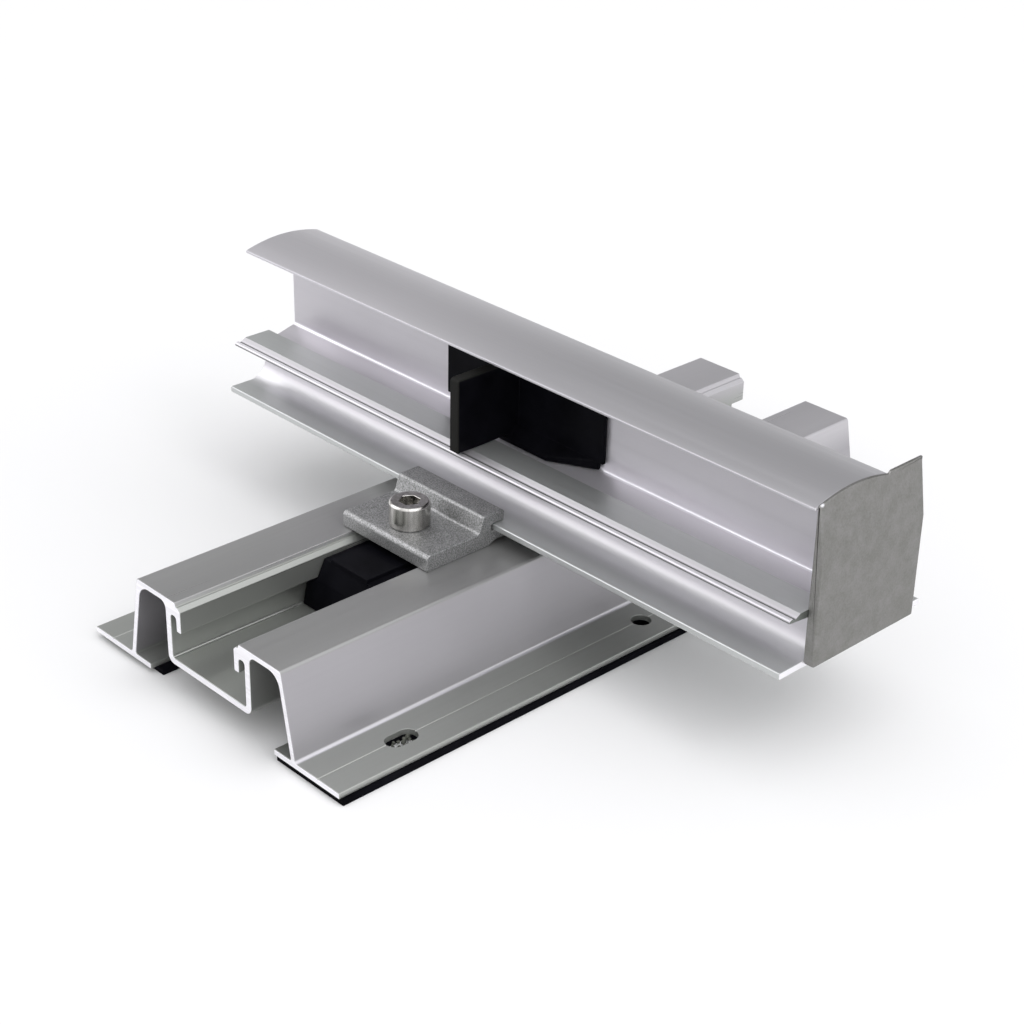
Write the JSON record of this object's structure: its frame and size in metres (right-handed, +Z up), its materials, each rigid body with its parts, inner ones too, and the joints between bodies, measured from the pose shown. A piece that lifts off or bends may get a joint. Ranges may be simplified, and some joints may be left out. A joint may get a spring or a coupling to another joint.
{
  "type": "solar mounting rail set",
  "caption": "Base rail with channel and slotted feet on rubber strips; clamps hold a cross rail with curved cap, module slot, end plate and spacer.",
  "frame": {"origin": "on the ground under the middle of the set's bounding box", "axes": "+X along the cross rail towards its end plate, +Y along the base rail from the visible front end to the rear, +Z up"},
  "size_m": [0.2536, 0.25, 0.0895],
  "materials": {
    "rail_aluminium": "anodised extrusion, satin",
    "gasket_rubber": "matte",
    "end_plate_cast": "matte, mottled",
    "black_plastic": "moulded, matte",
    "clamp_blasted": "blasted, fine grained",
    "screw_steel": "bright stainless",
    "nut_steel": "zinc plated"
  },
  "bodies": {
    "base": {"base_rail": "rail_aluminium", "gasket_left": "gasket_rubber", "gasket_right": "gasket_rubber"},
    "front_clamp_set": {"front_clamp": "clamp_blasted", "front_nut": "nut_steel", "front_nut_holder": "black_plastic"},
    "front_screw_body": {"front_screw": "screw_steel"},
    "rear_clamp_set": {"rear_clamp": "clamp_blasted", "rear_nut": "nut_steel", "rear_nut_holder": "black_plastic"},
    "rear_screw_body": {"rear_screw": "screw_steel"},
    "cross_rail_set": {"cross_rail": "rail_aluminium", "end_plate": "end_plate_cast"},
    "spacer": {"module_spacer": "black_plastic"}
  },
  "joints": [
    {"name": "front_clamp_slide", "type": "slide", "parent": "base", "child": "front_clamp_set", "axis": [0, -1, 0], "range_m": [0, 0.045]},
    {"name": "front_screw_turn", "type": "hinge", "parent": "front_clamp_set", "child": "front_screw_body", "pos_m": [-0.0118, -0.04735, 0.0374], "axis": [0, 0, 1], "continuous": true},
    {"name": "rear_clamp_slide", "type": "slide", "parent": "base", "child": "rear_clamp_set", "axis": [0, 1, 0], "range_m": [0, 0.045]},
    {"name": "rear_screw_turn", "type": "hinge", "parent": "rear_clamp_set", "child": "rear_screw_body", "pos_m": [-0.0118, 0.04915, 0.0374], "axis": [0, 0, 1], "continuous": true},
    {"name": "cross_rail_slide", "type": "slide", "parent": "base", "child": "cross_rail_set", "axis": [1, 0, 0], "range_m": [-0.09, 0.09]},
    {"name": "spacer_slide", "type": "slide", "parent": "cross_rail_set", "child": "spacer", "axis": [1, 0, 0], "range_m": [-0.083, 0.095]}
  ]
}
